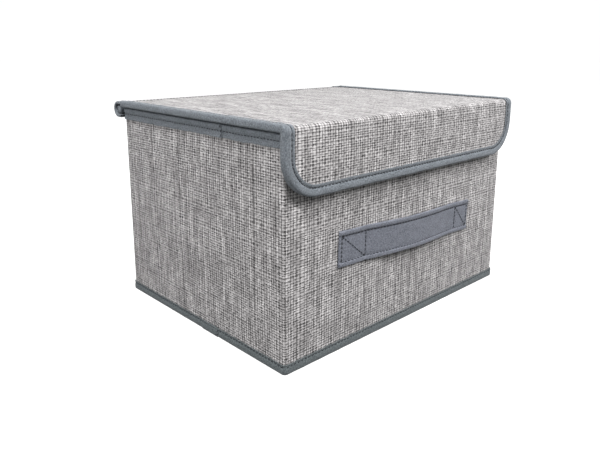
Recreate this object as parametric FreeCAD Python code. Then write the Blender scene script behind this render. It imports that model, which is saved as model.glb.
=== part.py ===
import FreeCAD, Part
import math
import os

# Fabric storage bin with a hinged, flap-front lid.
# Millimetres. Origin on the floor at the middle of the box footprint: +X along the wide
# front, -Y towards the front (handle and flap), +Z up.

# Overall size, measured over the wall cloth and the lid cloth
WIDTH = 256.0
DEPTH = 197.0
HEIGHT = 163.0

# Layers of the walls and the lid
COVER = 0.8
BOARD = 2.0
LINING = 0.6
TAPE = 0.6
THREAD = 0.3
WALL = COVER + BOARD + LINING
COVER_CORNER = 2.4
LINING_CORNER = 1.0
BOARD_END_GAP = 0.3

# Walls and rim
HALF_X = WIDTH / 2
HALF_Y = DEPTH / 2
LID_UNDERSIDE = HEIGHT - WALL
LID_CLEARANCE = 0.4
RIM_TOP = LID_UNDERSIDE - TAPE - LID_CLEARANCE
WALL_TOP = RIM_TOP - TAPE
RIM_TAPE_DROP = 9.6
RIM_TAPE_BOTTOM = RIM_TOP - RIM_TAPE_DROP
RIM_SEAM_Z = RIM_TAPE_BOTTOM + 4.2

# Bottom edge and base
BOTTOM_TAPE_HEIGHT = 7.0
BOTTOM_TAPE_TURN_UNDER = 7.0
BOTTOM_SEAM_Z = BOTTOM_TAPE_HEIGHT - 1.4
BASE_TOP = 2 * TAPE
SEAM_HEIGHT = 0.5

# Loose base insert
INSERT_SIDE_CLEARANCE = 0.5
INSERT_LIFT = 0.3
INSERT_BOARD = 2.5
INSERT_TURN_UNDER = 15.0
INSERT_CORNER = 1.5

# Handle tape on the front wall
HANDLE_LENGTH = 159.0
HANDLE_HEIGHT = 25.6
HANDLE_CENTRE_Z = 71.5
HANDLE_TILT_DEG = 2.0
HANDLE_END = 25.0
HANDLE_THICK = 1.4
HANDLE_BOW = 6.0
HANDLE_CLEARANCE = 0.3
HANDLE_SEAM_INSET = 2.6

# Lid
LID_OVERHANG = 3.8
LID_TAPE_WIDTH = 8.0
LID_BOARD_INSET = 1.3
LID_BACK = HALF_Y - 1.5
LID_BOARD_BACK = LID_BACK - 2.0
SEAM_FROM_EDGE = 5.8
LID_HALF_X = HALF_X + LID_OVERHANG

# Front flap, which hangs just clear of the rim tape
FLAP_CLEARANCE = 0.5
FLAP_BOTTOM = 117.0
FLAP_CORNER = 27.0
FOLD_GAP = 0.1
FOLD_BOARD_GAP = 0.6
FOLD_TAPE_GAP = 1.0
FOLD_Y = -(HALF_Y + TAPE + FLAP_CLEARANCE + TAPE)

# Rear hinge strip, a soft loop behind the back wall
LOOP_THICK = 1.6
LOOP_RADIUS = 6.0
LOOP_Y = HALF_Y + 4.0
LOOP_Z = HEIGHT - LOOP_RADIUS
LOOP_GAP = 0.2


def box(x, y, z):
    """A block between three (low, high) spans."""
    size = (x[1] - x[0], y[1] - y[0], z[1] - z[0])
    return Part.makeBox(*size, FreeCAD.Vector(x[0], y[0], z[0]))


def closed_profile(points):
    """A face whose outline runs through points; a pair of points is an arc (middle, end)."""
    edges = []
    here = points[0]
    for step in points[1:] + [points[0]]:
        if isinstance(step, tuple):
            edges.append(Part.Arc(here, step[0], step[1]).toShape())
            here = step[1]
        elif (step - here).Length > 1e-6:
            edges.append(Part.LineSegment(here, step).toShape())
            here = step
    return Part.Face(Part.Wire(edges))


def column(half_x, half_y, corner, z):
    """An upright block with round corners, between z[0] and z[1]."""
    block = box((-half_x, half_x), (-half_y, half_y), z)
    upright = [e for e in block.Edges if abs(e.tangentAt(e.FirstParameter).z) > 0.5]
    return block.makeFillet(corner, upright)


def wall_column(outside, z):
    """The box's outline, grown by outside beyond the wall cloth (inwards if negative)."""
    corner = max(COVER_CORNER + outside, LINING_CORNER)
    return column(HALF_X + outside, HALF_Y + outside, corner, z)


def wall_ring(outside, thick, z):
    """A ring round the walls, thick wide, whose outer face is outside beyond the cloth."""
    return wall_column(outside, z).cut(wall_column(outside - thick, z))


# Box body


def wall_board(side_x, side_y):
    """One cardboard stiffener, in the wall that faces along (side_x, side_y)."""
    outer_x = HALF_X - COVER
    outer_y = HALF_Y - COVER
    square_end = BOARD + BOARD_END_GAP
    z = (BASE_TOP, WALL_TOP)
    if side_x:
        x = sorted((side_x * outer_x, side_x * (outer_x - BOARD)))
        return box(x, (square_end - outer_y, outer_y - square_end), z)
    y = sorted((side_y * outer_y, side_y * (outer_y - BOARD)))
    return box((square_end - outer_x, outer_x - square_end), y, z)


def outer_cover():
    return wall_ring(0, COVER, (TAPE, WALL_TOP))


def wall_lining():
    return wall_ring(-COVER - BOARD, LINING, (BASE_TOP, WALL_TOP))


def rim_binding():
    """Tape folded over the top of the walls, as deep inside as outside."""
    z = (RIM_TAPE_BOTTOM, RIM_TOP)
    around = wall_ring(TAPE, WALL + 2 * TAPE, z)
    return around.cut(wall_ring(0, WALL, (RIM_TAPE_BOTTOM, WALL_TOP)))


def bottom_binding():
    """Tape round the bottom edge, turned under the base as a flat lip."""
    band = wall_column(TAPE, (0, BOTTOM_TAPE_HEIGHT))
    band = band.cut(wall_column(0, (TAPE, BOTTOM_TAPE_HEIGHT)))
    return band.cut(wall_column(-BOTTOM_TAPE_TURN_UNDER, (0, TAPE)))


def base_cloth():
    """The sewn-in bottom: flat on the floor inside the lip, raised over the lip."""
    middle = wall_column(-BOTTOM_TAPE_TURN_UNDER, (0, TAPE))
    return middle.fuse(wall_column(-COVER, (TAPE, BASE_TOP))).removeSplitter()


def seam_ring(outside, seam_z):
    """A row of thread round the box, lying on a face that is outside beyond the cloth."""
    z = (seam_z, seam_z + SEAM_HEIGHT)
    return wall_ring(outside + THREAD, THREAD, z)


def hinge_strip():
    """The soft loop from the lid's back edge, round and under, to the rim tape."""
    inner = LOOP_RADIUS - LOOP_THICK
    start = LID_BACK + LOOP_GAP
    end = HALF_Y + TAPE

    def at(y, z):
        return FreeCAD.Vector(-LID_HALF_X, y, z)

    profile = closed_profile([
        at(start, HEIGHT),
        at(LOOP_Y, HEIGHT),
        (at(LOOP_Y + LOOP_RADIUS, LOOP_Z), at(LOOP_Y, LOOP_Z - LOOP_RADIUS)),
        at(end, LOOP_Z - LOOP_RADIUS),
        at(end, LOOP_Z - inner),
        at(LOOP_Y, LOOP_Z - inner),
        (at(LOOP_Y + inner, LOOP_Z), at(LOOP_Y, LOOP_Z + inner)),
        at(start, HEIGHT - LOOP_THICK),
    ])
    return profile.extrude(FreeCAD.Vector(2 * LID_HALF_X, 0, 0))


# Handle


def tilted(shape):
    """The handle is sewn on slightly askew, its +X end lower."""
    middle = FreeCAD.Vector(0, 0, HANDLE_CENTRE_Z)
    shape.rotate(middle, FreeCAD.Vector(0, 1, 0), HANDLE_TILT_DEG)
    return shape


def handle_end(side):
    """The sewn end of the handle tape, flat on the front wall; side is -1 or 1."""
    x = sorted((side * HANDLE_LENGTH / 2, side * (HANDLE_LENGTH / 2 - HANDLE_END)))
    return tilted(box(x, (-HALF_Y - HANDLE_THICK, -HALF_Y), handle_span()))


def handle_span():
    return (HANDLE_CENTRE_Z - HANDLE_HEIGHT / 2, HANDLE_CENTRE_Z + HANDLE_HEIGHT / 2)


def handle_grip():
    """The free middle of the tape, an even arc that bows out from the wall."""
    half = HANDLE_LENGTH / 2 - HANDLE_END
    radius = (half ** 2 + HANDLE_BOW ** 2) / (2 * HANDLE_BOW)
    z = handle_span()
    centre_y = radius - HALF_Y - HANDLE_CLEARANCE - HANDLE_BOW
    centre = FreeCAD.Vector(0, centre_y, z[0])
    outer = Part.makeCylinder(radius + HANDLE_THICK, HANDLE_HEIGHT, centre)
    inner = Part.makeCylinder(radius, HANDLE_HEIGHT, centre)
    free = half - HANDLE_CLEARANCE
    front = box((-free, free), (-2 * HALF_Y, -HALF_Y), z)
    return tilted(outer.cut(inner).common(front))


def handle_thread(side):
    """The stitched box with a cross that holds one end of the handle to the wall."""
    outer = HANDLE_LENGTH / 2 - HANDLE_SEAM_INSET
    inner = HANDLE_LENGTH / 2 - HANDLE_END + HANDLE_SEAM_INSET
    low = HANDLE_CENTRE_Z - HANDLE_HEIGHT / 2 + HANDLE_SEAM_INSET
    high = HANDLE_CENTRE_Z + HANDLE_HEIGHT / 2 - HANDLE_SEAM_INSET
    corners = [(inner, low), (outer, low), (outer, high), (inner, high)]
    runs = [(corners[i], corners[(i + 1) % 4]) for i in range(4)]
    runs += [(corners[0], corners[2]), (corners[1], corners[3])]
    rows = [thread_run(side * a[0], a[1], side * b[0], b[1]) for a, b in runs]
    return tilted(rows[0].multiFuse(rows[1:]).removeSplitter())


def thread_run(x0, z0, x1, z1):
    """A straight row of thread on the handle's face, from (x0, z0) to (x1, z1)."""
    length = math.hypot(x1 - x0, z1 - z0) + SEAM_HEIGHT
    row = Part.makeBox(length, THREAD, SEAM_HEIGHT)
    row.translate(FreeCAD.Vector(-SEAM_HEIGHT / 2, 0, -SEAM_HEIGHT / 2))
    turn = math.degrees(math.atan2(z1 - z0, x1 - x0))
    row.rotate(FreeCAD.Vector(0, 0, 0), FreeCAD.Vector(0, -1, 0), turn)
    row.translate(FreeCAD.Vector(x0, -HALF_Y - HANDLE_THICK - THREAD, z0))
    return row


# Loose base insert


def insert_column(inset, z):
    inside = WALL + TAPE + INSERT_SIDE_CLEARANCE + inset
    return column(HALF_X - inside, HALF_Y - inside, INSERT_CORNER, z)


def insert_levels():
    """Heights of the insert: underside, board bottom, board top, top."""
    underside = BASE_TOP + INSERT_LIFT
    board_bottom = underside + LINING
    board_top = board_bottom + INSERT_BOARD
    return underside, board_bottom, board_top, board_top + LINING


def base_board():
    levels = insert_levels()
    return insert_column(LINING, (levels[1], levels[2]))


def base_board_cover():
    """Cloth over the board's top and edges, turned under as a border."""
    levels = insert_levels()
    around = insert_column(0, (levels[0], levels[3]))
    window = insert_column(INSERT_TURN_UNDER, (levels[0], levels[1]))
    return around.cut(base_board()).cut(window)


# Lid


def lid_sheet(half_x, y_back, z):
    return box((-half_x, half_x), (FOLD_Y + FOLD_GAP, y_back), z)


def lid_board():
    half_x = LID_HALF_X - LID_BOARD_INSET
    y = (FOLD_Y + FOLD_BOARD_GAP, LID_BOARD_BACK)
    return box((-half_x, half_x), y, (LID_UNDERSIDE + LINING, HEIGHT - COVER))


def lid_cover():
    return lid_sheet(LID_HALF_X, LID_BACK, (HEIGHT - COVER, HEIGHT))


def lid_lining():
    return lid_sheet(LID_HALF_X, LID_BACK, (LID_UNDERSIDE, LID_UNDERSIDE + LINING))


def lid_binding(side):
    """Tape folded over one side edge of the lid; side is -1 or 1."""
    edge = LID_HALF_X + TAPE
    x = sorted((side * edge, side * (edge - LID_TAPE_WIDTH)))
    tape = box(x, (FOLD_Y + FOLD_GAP, LID_BACK), (LID_UNDERSIDE - TAPE, HEIGHT + TAPE))
    tape = tape.cut(lid_sheet(LID_HALF_X, LID_BACK, (LID_UNDERSIDE, HEIGHT)))
    under_fold = (FOLD_Y, FOLD_Y + FOLD_TAPE_GAP)
    return tape.cut(box((-edge, edge), under_fold, (LID_UNDERSIDE - TAPE, LID_UNDERSIDE)))


def lid_thread():
    """One row of thread along each side tape."""
    rows = []
    for side in (-1, 1):
        middle = side * (LID_HALF_X + TAPE - SEAM_FROM_EDGE)
        x = (middle - SEAM_HEIGHT / 2, middle + SEAM_HEIGHT / 2)
        z = (HEIGHT + TAPE, HEIGHT + TAPE + THREAD)
        rows.append(box(x, (FOLD_Y + FOLD_GAP, LID_BACK), z))
    return Part.makeCompound(rows)


def fold_strip():
    """The cloth of the lid's round front fold, a quarter ring about the fold line."""
    along = FreeCAD.Vector(1, 0, 0)
    start = FreeCAD.Vector(-LID_HALF_X, FOLD_Y, LID_UNDERSIDE)
    outer = Part.makeCylinder(WALL, 2 * LID_HALF_X, start, along)
    inner = Part.makeCylinder(WALL - COVER, 2 * LID_HALF_X, start, along)
    x = (-LID_HALF_X, LID_HALF_X)
    quarter = box(x, (FOLD_Y - WALL, FOLD_Y), (LID_UNDERSIDE, HEIGHT))
    return outer.cut(inner).common(quarter)


# Front flap


def flap_plate(inset, y, top_gap):
    """The flap's outline with two round lower corners, inset from its cloth edge."""
    half = LID_HALF_X - inset
    low = FLAP_BOTTOM + TAPE + inset
    top = LID_UNDERSIDE - top_gap
    corner = FLAP_CORNER - inset
    bend = corner * (1 - math.sqrt(0.5))

    def at(x, z):
        return FreeCAD.Vector(x, y[0], z)

    profile = closed_profile([
        at(-half, top),
        at(-half, low + corner),
        (at(bend - half, low + bend), at(corner - half, low)),
        at(half - corner, low),
        (at(half - bend, low + bend), at(half, low + corner)),
        at(half, top),
    ])
    return profile.extrude(FreeCAD.Vector(0, y[1] - y[0], 0))


def flap_board():
    y = (FOLD_Y - LINING - BOARD, FOLD_Y - LINING)
    return flap_plate(LID_BOARD_INSET, y, FOLD_BOARD_GAP)


def flap_cover():
    return flap_plate(0, (FOLD_Y - WALL, FOLD_Y - WALL + COVER), FOLD_GAP)


def flap_lining():
    return flap_plate(0, (FOLD_Y - LINING, FOLD_Y), FOLD_GAP)


def flap_binding():
    """Tape folded over the flap's sides, round corners and bottom edge."""
    y = (FOLD_Y - WALL - TAPE, FOLD_Y + TAPE)
    tape = flap_plate(-TAPE, y, FOLD_GAP)
    tape = tape.cut(flap_plate(LID_TAPE_WIDTH - TAPE, y, -FOLD_GAP))
    tape = tape.cut(flap_plate(0, (FOLD_Y - WALL, FOLD_Y), -FOLD_GAP))
    edge = LID_HALF_X + TAPE
    behind_fold = (LID_UNDERSIDE - FOLD_TAPE_GAP, LID_UNDERSIDE)
    return tape.cut(box((-edge, edge), (FOLD_Y, FOLD_Y + TAPE), behind_fold))


def flap_thread():
    """One row of thread round the flap, on the tape near its inner edge."""
    face = FOLD_Y - WALL - TAPE
    inset = SEAM_FROM_EDGE - TAPE - SEAM_HEIGHT / 2
    row = flap_plate(inset, (face - THREAD, face), FOLD_GAP)
    return row.cut(flap_plate(inset + SEAM_HEIGHT, (face - THREAD, face), -FOLD_GAP))


nodes = {
    "front_board": wall_board(0, -1),
    "back_board": wall_board(0, 1),
    "left_board": wall_board(-1, 0),
    "right_board": wall_board(1, 0),
    "outer_cover": outer_cover(),
    "wall_lining": wall_lining(),
    "rim_binding": rim_binding(),
    "bottom_binding": bottom_binding(),
    "base_cloth": base_cloth(),
    "hinge_strip": hinge_strip(),
    "rim_thread": seam_ring(TAPE, RIM_SEAM_Z),
    "bottom_thread": seam_ring(TAPE, BOTTOM_SEAM_Z),
    "handle_end_left": handle_end(-1),
    "handle_end_right": handle_end(1),
    "handle_thread_left": handle_thread(-1),
    "handle_thread_right": handle_thread(1),
    "handle_grip": handle_grip(),
    "base_board": base_board(),
    "base_board_cover": base_board_cover(),
    "lid_board": lid_board(),
    "lid_cover": lid_cover(),
    "lid_lining": lid_lining(),
    "lid_binding_left": lid_binding(-1),
    "lid_binding_right": lid_binding(1),
    "lid_thread": lid_thread(),
    "fold_strip": fold_strip(),
    "flap_board": flap_board(),
    "flap_cover": flap_cover(),
    "flap_lining": flap_lining(),
    "flap_binding": flap_binding(),
    "flap_thread": flap_thread(),
}

os.makedirs("parts", exist_ok=True)
for name, shape in nodes.items():
    shape.exportStep("parts/" + name + ".step")
    print(name, len(shape.Solids), shape.isValid(), round(shape.Volume, 1))
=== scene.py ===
import math
import random

import bpy
from mathutils import Matrix, Vector, noise


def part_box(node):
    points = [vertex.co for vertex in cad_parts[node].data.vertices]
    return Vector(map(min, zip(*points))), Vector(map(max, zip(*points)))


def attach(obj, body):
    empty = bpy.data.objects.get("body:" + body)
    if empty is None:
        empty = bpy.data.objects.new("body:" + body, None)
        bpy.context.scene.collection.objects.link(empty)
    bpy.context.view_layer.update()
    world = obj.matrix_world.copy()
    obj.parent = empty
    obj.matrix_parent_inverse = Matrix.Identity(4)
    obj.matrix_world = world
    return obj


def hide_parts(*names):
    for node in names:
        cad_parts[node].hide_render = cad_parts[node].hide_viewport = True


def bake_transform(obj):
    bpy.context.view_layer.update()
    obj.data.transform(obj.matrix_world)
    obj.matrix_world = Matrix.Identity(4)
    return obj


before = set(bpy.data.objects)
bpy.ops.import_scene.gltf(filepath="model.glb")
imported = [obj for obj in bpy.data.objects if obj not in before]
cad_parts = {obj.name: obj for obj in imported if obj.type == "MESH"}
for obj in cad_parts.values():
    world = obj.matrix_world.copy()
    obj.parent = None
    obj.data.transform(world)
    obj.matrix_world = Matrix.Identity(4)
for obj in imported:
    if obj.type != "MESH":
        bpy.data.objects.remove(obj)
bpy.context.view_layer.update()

# Fabric storage bin with a hinged, flap-front lid. Metres; +X along the wide front, -Y to the
# front, +Z up. Every piece is cloth or tape laid round the frame's boards.

MM = 0.001
random.seed(7)

# Sizes read from the frame
cover_low, cover_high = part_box("outer_cover")
HALF_X = cover_high.x
HALF_Y = cover_high.y
WALL_TOP = cover_high.z
TAPE = cover_low.z
LINING_FACE = HALF_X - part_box("wall_lining")[1].x
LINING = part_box("lid_lining")[1].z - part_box("lid_lining")[0].z
WALL = LINING_FACE + LINING
RIM_LOW, RIM_TOP = (corner.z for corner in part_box("rim_binding"))
RIM_SEAM_Z = sum(corner.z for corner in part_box("rim_thread")) / 2
BOTTOM_TAPE_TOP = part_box("bottom_binding")[1].z
BOTTOM_SEAM_Z = sum(corner.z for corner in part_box("bottom_thread")) / 2
BOTTOM_TURN_UNDER = 7 * MM
LID_HALF_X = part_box("lid_cover")[1].x
LID_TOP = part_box("lid_cover")[1].z
LID_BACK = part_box("lid_cover")[1].y
LID_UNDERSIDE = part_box("lid_lining")[0].z
LID_THICK = LID_TOP - LID_UNDERSIDE
FOLD_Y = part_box("fold_strip")[1].y
FLAP_CLOTH_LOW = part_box("flap_cover")[0].z
hinge_low, hinge_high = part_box("hinge_strip")
LOOP_RADIUS = (hinge_high.z - hinge_low.z) / 2
LOOP_Y = hinge_high.y - LOOP_RADIUS
LOOP_Z = hinge_high.z - LOOP_RADIUS

# Cloth thicknesses and how it lies
COVER_CORNER = 2.4 * MM
TIGHTEST_CORNER = 1.0 * MM
CLOTH = 0.6 * MM
TAPE_THICK = 0.5 * MM
LINING_THICK = 0.4 * MM
FOLD_TIGHT = 0.8 * MM
FLAP_CORNER = 27 * MM
LID_TAPE_WIDTH = 8 * MM
LID_SEAM = 5.2 * MM

# Sewing
STITCH_PITCH = 3.2 * MM
STITCH_LENGTH = 2.3 * MM
THREAD_RADIUS = 0.34 * MM
THREAD_PROUD = 0.05 * MM

# Yarns of the linen cloth
WARP_PITCH = 2.45 * MM
WEFT_PITCH = 1.85 * MM


# Materials


class Shader:
    """Builds the nodes of one material. Every method adds a node and returns its output."""

    def __init__(self, name, roughness, sheen=0.0):
        self.material = bpy.data.materials.new(name)
        self.material.use_nodes = True
        self.tree = self.material.node_tree
        self.surface = self.tree.nodes["Principled BSDF"]
        self.surface.inputs["Roughness"].default_value = roughness
        self.surface.inputs["Specular IOR Level"].default_value = 0.25
        self.surface.inputs["Sheen Weight"].default_value = sheen
        self.surface.inputs["Sheen Roughness"].default_value = 0.6

    def feed(self, socket, value):
        if isinstance(value, bpy.types.NodeSocket):
            self.tree.links.new(value, socket)
        else:
            socket.default_value = value

    def math(self, operation, *values):
        node = self.tree.nodes.new("ShaderNodeMath")
        node.operation = operation
        for socket, value in zip(node.inputs, values):
            self.feed(socket, value)
        return node.outputs[0]

    def ramp(self, value, low, high, out_low=0.0, out_high=1.0):
        """value carried from low..high to out_low..out_high, eased and clamped."""
        node = self.tree.nodes.new("ShaderNodeMapRange")
        node.interpolation_type = "SMOOTHSTEP"
        for socket, number in zip(node.inputs, (value, low, high, out_low, out_high)):
            self.feed(socket, number)
        return node.outputs[0]

    def times(self, a, b):
        return self.math("MULTIPLY", a, b)

    def plus(self, a, b):
        return self.math("ADD", a, b)

    def minus(self, a, b):
        return self.math("SUBTRACT", a, b)

    def mix(self, share, a, b):
        """a where share is 0 and b where it is 1."""
        return self.plus(self.times(self.minus(b, a), share), a)

    def vector(self, x, y, z=0.0):
        node = self.tree.nodes.new("ShaderNodeCombineXYZ")
        for socket, value in zip(node.inputs, (x, y, z)):
            self.feed(socket, value)
        return node.outputs[0]

    def noise(self, x, y, z=0.0, detail=2.0):
        node = self.tree.nodes.new("ShaderNodeTexNoise")
        self.feed(node.inputs["Vector"], self.vector(x, y, z))
        node.inputs["Scale"].default_value = 1.0
        node.inputs["Detail"].default_value = detail
        return node.outputs["Fac"]

    def flecks(self, x, y, per_x, per_y, seed=0.0, detail=2.0):
        """Noise that changes per_x times a metre along x and per_y times along y."""
        return self.noise(self.times(x, per_x), self.times(y, per_y), seed, detail)

    def chance(self, x, y):
        """An even random number for each whole (x, y)."""
        node = self.tree.nodes.new("ShaderNodeTexWhiteNoise")
        node.noise_dimensions = "2D"
        self.feed(node.inputs["Vector"], self.vector(x, y))
        return node.outputs["Value"]

    def cloth(self):
        """Position along and across the cloth in metres, as it lay before it was sewn."""
        node = self.tree.nodes.new("ShaderNodeAttribute")
        node.attribute_name = "cloth"
        split = self.tree.nodes.new("ShaderNodeSeparateXYZ")
        self.tree.links.new(node.outputs["Vector"], split.inputs[0])
        return split.outputs[0], split.outputs[1]

    def place(self):
        """Position on the object in metres."""
        node = self.tree.nodes.new("ShaderNodeTexCoord")
        split = self.tree.nodes.new("ShaderNodeSeparateXYZ")
        self.tree.links.new(node.outputs["Object"], split.inputs[0])
        return split.outputs

    def colour(self, value, *stops):
        """Colour from value, through (position, (r, g, b)) stops."""
        node = self.tree.nodes.new("ShaderNodeValToRGB")
        elements = node.color_ramp.elements
        while len(elements) < len(stops):
            elements.new(0.5)
        for element, (position, rgb) in zip(elements, stops):
            element.position = position
            element.color = (*rgb, 1.0)
        self.feed(node.inputs[0], value)
        self.feed(self.surface.inputs["Base Color"], node.outputs[0])

    def relief(self, height, depth):
        node = self.tree.nodes.new("ShaderNodeBump")
        node.inputs["Distance"].default_value = depth
        node.inputs["Strength"].default_value = 1.0
        self.feed(node.inputs["Height"], height)
        self.feed(self.surface.inputs["Normal"], node.outputs[0])


def yarns(sh, across, along, pitch, seed, streak):
    """One direction of yarn: (its number, nearest gap, roundness across it, tone, painted shade in the
    gaps between yarns).
    """
    wander = sh.flecks(across, along, 90, 25, seed)
    spread = sh.noise(sh.times(across, 150), seed, seed)
    shift = sh.times(sh.plus(sh.times(wander, 0.5), sh.times(spread, 2.2)), pitch)
    count = sh.math("DIVIDE", sh.plus(across, shift), pitch)
    number = sh.math("FLOOR", count)
    round_across = sh.math("SINE", sh.times(sh.math("FRACT", count), math.pi))
    run = sh.noise(sh.times(number, 5.3), sh.math("DIVIDE", along, 20 * MM), seed)
    slub = sh.noise(sh.times(number, 3.7), sh.math("DIVIDE", along, 5 * MM), seed)
    tone = sh.mix(0.45, sh.ramp(run, 0.36, 0.64), sh.ramp(slub, 0.34, 0.66))
    edge = sh.math("ROUND", count)
    gap = sh.noise(sh.times(edge, 7.9), sh.math("DIVIDE", along, streak), seed + 3.0)
    open_edge = sh.math("POWER", sh.minus(1.0, round_across), 2.0)
    return number, edge, round_across, tone, sh.times(open_edge, sh.ramp(gap, 0.48, 0.62))


def linen_cloth():
    """Coarse slubby plain weave of light and dark grey yarns."""
    sh = Shader("linen_cloth", roughness=0.9, sheen=0.1)
    u, v = sh.cloth()
    warp, warp_edge, warp_round, warp_tone, warp_gap = yarns(sh, u, v, WARP_PITCH, 1.7, 8 * MM)
    weft, weft_edge, weft_round, weft_tone, weft_gap = yarns(sh, v, u, WEFT_PITCH, 8.3, 6 * MM)
    warp_over = sh.math("MODULO", sh.math("ABSOLUTE", sh.plus(warp, weft)), 2.0)

    # Light yarns and dark ones, and shade where a yarn turns down
    warp_face = sh.times(sh.mix(warp_round, 0.72, 1.0), sh.mix(weft_round, 0.86, 1.0))
    weft_face = sh.times(sh.mix(weft_round, 0.78, 1.0), sh.mix(warp_round, 0.8, 1.0))
    yarn_tone = sh.plus(sh.times(warp_tone, sh.mix(warp_over, 0.14, 0.27)),
                        sh.times(weft_tone, sh.mix(warp_over, 0.14, 0.05)))
    patch = sh.flecks(u, v, 190, 32, 6.0)
    yarn_tone = sh.plus(yarn_tone, sh.ramp(patch, 0.36, 0.64, 0.56, 0.705))
    light = sh.times(sh.mix(warp_over, weft_face, warp_face), yarn_tone)

    # Painted shade in the open crossings, more of them in some places, and in the lines between yarns
    hole_shape = sh.times(sh.minus(1.0, warp_round), sh.minus(1.0, weft_round))
    cluster = sh.flecks(u, v, 300, 90, 4.1)
    hole_depth = sh.times(sh.ramp(sh.chance(warp_edge, weft_edge), 0.1, 0.8, 0.1, 1.0),
                          sh.ramp(cluster, 0.4, 0.58, 0.35, 1.0))
    hole = sh.times(sh.ramp(hole_shape, 0.0, 0.14), hole_depth)
    lines = sh.math("MAXIMUM", sh.times(warp_gap, 0.8), sh.times(weft_gap, 0.55))
    dark = sh.math("MAXIMUM", hole, lines)
    # The yarn colour is darkened there: painted shade in the holes and gaps
    light = sh.times(light, sh.minus(1.0, sh.times(dark, 0.68)))

    fibre = sh.flecks(u, v, 1300, 1300, detail=3.0)
    light = sh.times(light, sh.mix(fibre, 0.74, 1.26))
    sh.colour(light, (0.08, (0.03, 0.029, 0.029)), (0.45, (0.19, 0.184, 0.182)),
              (0.72, (0.44, 0.43, 0.427)), (0.97, (0.72, 0.708, 0.7)))

    body = sh.mix(warp_over, weft_round, warp_round)
    height = sh.minus(sh.plus(body, sh.times(fibre, 0.25)), sh.times(dark, 0.9))
    sh.relief(height, 0.3 * MM)
    return sh.material


def nonwoven(name, dark, light, emboss_pitch, relief=0.12 * MM):
    """Pressed polypropylene felt: mottled fibres with rows of small bonded dimples, the dimples painted
    a little darker as painted shade.
    """
    sh = Shader(name, roughness=0.82, sheen=0.1)
    u, v = sh.cloth()
    speckle = sh.flecks(u, v, 850, 850, 2.0, detail=4.0)
    mottle = sh.flecks(u, v, 130, 200, 5.0, detail=3.0)
    fibre = sh.flecks(u, v, 420, 2400, 3.0)
    across = sh.math("SINE", sh.times(sh.plus(u, v), 2 * math.pi / emboss_pitch))
    along = sh.math("SINE", sh.times(sh.minus(u, v), 2 * math.pi / emboss_pitch))
    dimple = sh.ramp(sh.times(across, along), 0.35, 0.9)
    tone = sh.plus(sh.times(speckle, 0.6), sh.times(mottle, 0.18))
    tone = sh.plus(tone, sh.times(fibre, 0.22))
    # Painted shade: the dimples are drawn a little darker than the felt round them
    tone = sh.minus(tone, sh.times(dimple, 0.05))
    sh.colour(tone, (0.36, dark), (0.64, light))
    sh.relief(sh.minus(sh.plus(speckle, fibre), sh.times(dimple, 0.8)), relief)
    return sh.material


def thread_material():
    """Two-ply sewing thread, its plies winding across each stitch, with painted shade between the
    plies.
    """
    sh = Shader("thread", roughness=0.6, sheen=0.05)
    x, y, z = sh.place()
    lay = sh.math("SINE", sh.times(sh.plus(sh.plus(x, y), z), 9000))
    # Painted shade: the colour is darker in the grooves between the plies
    tone = sh.plus(sh.times(lay, 0.2), 0.5)
    sh.colour(tone, (0.2, (0.018, 0.02, 0.024)), (0.8, (0.05, 0.055, 0.064)))
    sh.relief(lay, 0.05 * MM)
    return sh.material


def cardboard():
    """Raw grey board, flecked and faintly lined."""
    sh = Shader("cardboard", roughness=0.88)
    x, y, z = sh.place()
    fleck = sh.flecks(x, y, 900, 900, sh.times(z, 900), detail=3.0)
    grain = sh.flecks(x, y, 60, 60, sh.times(z, 900))
    tone = sh.mix(0.4, fleck, grain)
    sh.colour(tone, (0.3, (0.2, 0.165, 0.12)), (0.7, (0.42, 0.36, 0.27)))
    sh.relief(tone, 0.06 * MM)
    return sh.material


LINEN = linen_cloth()
TAPE_FELT = nonwoven("tape", (0.083, 0.098, 0.111), (0.24, 0.267, 0.292), 1.6 * MM)
HANDLE_FELT = nonwoven("handle_tape", (0.078, 0.087, 0.108), (0.215, 0.231, 0.27), 1.9 * MM)
# The bottom tape's felt is darker and greener than the tape felt above: partly its own tone, partly
# painted shade low on the box by the floor
BOTTOM_FELT_TONE_AND_SHADE = nonwoven("bottom_tape", (0.055, 0.068, 0.072), (0.15, 0.175, 0.181), 1.6 * MM)
LINING_FELT = nonwoven("lining", (0.16, 0.165, 0.175), (0.3, 0.305, 0.315), 2.2 * MM, 0.2 * MM)
THREAD = thread_material()
CARDBOARD = cardboard()


# Mesh building


def mesh_piece(name, points, faces, cloth, materials):
    """A smooth mesh; cloth holds each point's place on the flat cloth, for the materials."""
    mesh = bpy.data.meshes.new(name)
    mesh.from_pydata([tuple(p) for p in points], [], faces)
    if cloth:
        layer = mesh.attributes.new("cloth", "FLOAT_VECTOR", "POINT")
        layer.data.foreach_set("vector", [c for uv in cloth for c in (uv[0], uv[1], 0.0)])
    for material in materials:
        mesh.materials.append(material)
    mesh.shade_smooth()
    piece = bpy.data.objects.new(name, mesh)
    bpy.context.collection.objects.link(piece)
    return piece


def settle(piece):
    """Turns the piece's modifiers into its mesh."""
    graph = bpy.context.evaluated_depsgraph_get()
    mesh = bpy.data.meshes.new_from_object(piece.evaluated_get(graph))
    piece.modifiers.clear()
    piece.data = mesh
    mesh.set_sharp_from_angle(angle=math.radians(50))


def thicken(piece, thick):
    """Gives cloth its thickness, on its back. A second material is for its back."""
    solid = piece.modifiers.new("thickness", "SOLIDIFY")
    solid.thickness = thick
    solid.offset = -1
    solid.material_offset = len(piece.data.materials) - 1
    settle(piece)


def grid_faces(count, width, flip=False):
    """Faces between the neighbours in count rows of width points."""
    faces = []
    for i in range(count - 1):
        for j in range(width - 1):
            a = i * width + j
            face = (a, a + 1, a + width + 1, a + width)
            faces.append(face[::-1] if flip else face)
    return faces


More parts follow.
